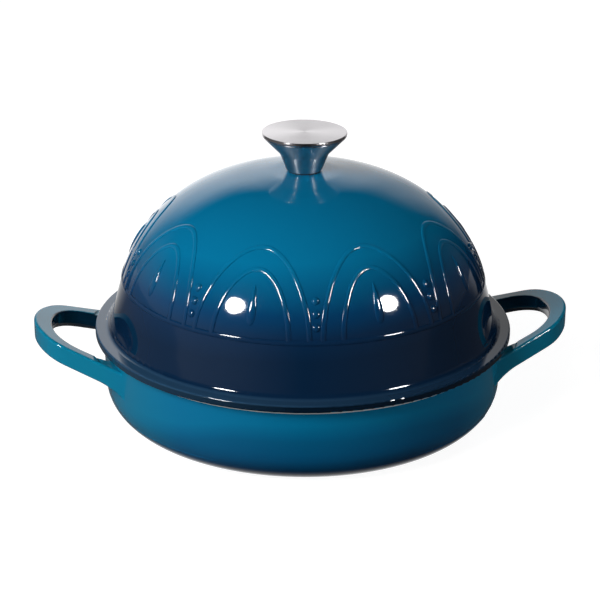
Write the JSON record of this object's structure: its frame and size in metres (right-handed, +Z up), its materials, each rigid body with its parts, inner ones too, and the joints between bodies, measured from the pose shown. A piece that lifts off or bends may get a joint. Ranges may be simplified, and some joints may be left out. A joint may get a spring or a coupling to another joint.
{
  "type": "enamelled dutch oven",
  "caption": "Shallow round enamelled iron pan with loop handles under a tall domed lid with a flared steel knob, for baking bread and roasting in an oven.",
  "frame": {"origin": "middle of the pan's flat foot, on the surface that the oven stands on", "axes": "+Z up through the knob, +X along the line of the handles, +Y across them"},
  "size_m": [0.3454, 0.268, 0.1847],
  "materials": {
    "pan_enamel": "glossy teal-blue vitreous enamel, darker towards the foot",
    "lid_enamel": "glossy blue vitreous enamel shading to deep navy at the flange",
    "polished_steel": "polished stainless steel",
    "turned_steel": "lathe-turned satin stainless steel",
    "plain_steel": "plain machined steel",
    "gasket": "matte heat-resistant silicone"
  },
  "bodies": {
    "pan": {"pan": "pan_enamel"},
    "lid": {"lid": "lid_enamel", "knob_body": "polished_steel", "knob_cap": "turned_steel", "knob_insert": "plain_steel", "knob_screw": "plain_steel", "screw_washer": "plain_steel", "knob_gasket": "gasket"}
  },
  "joints": [
    {"name": "lid_lift", "type": "slide", "parent": "pan", "child": "lid", "axis": [0, 0, 1], "range_m": [0, 0.2]}
  ]
}
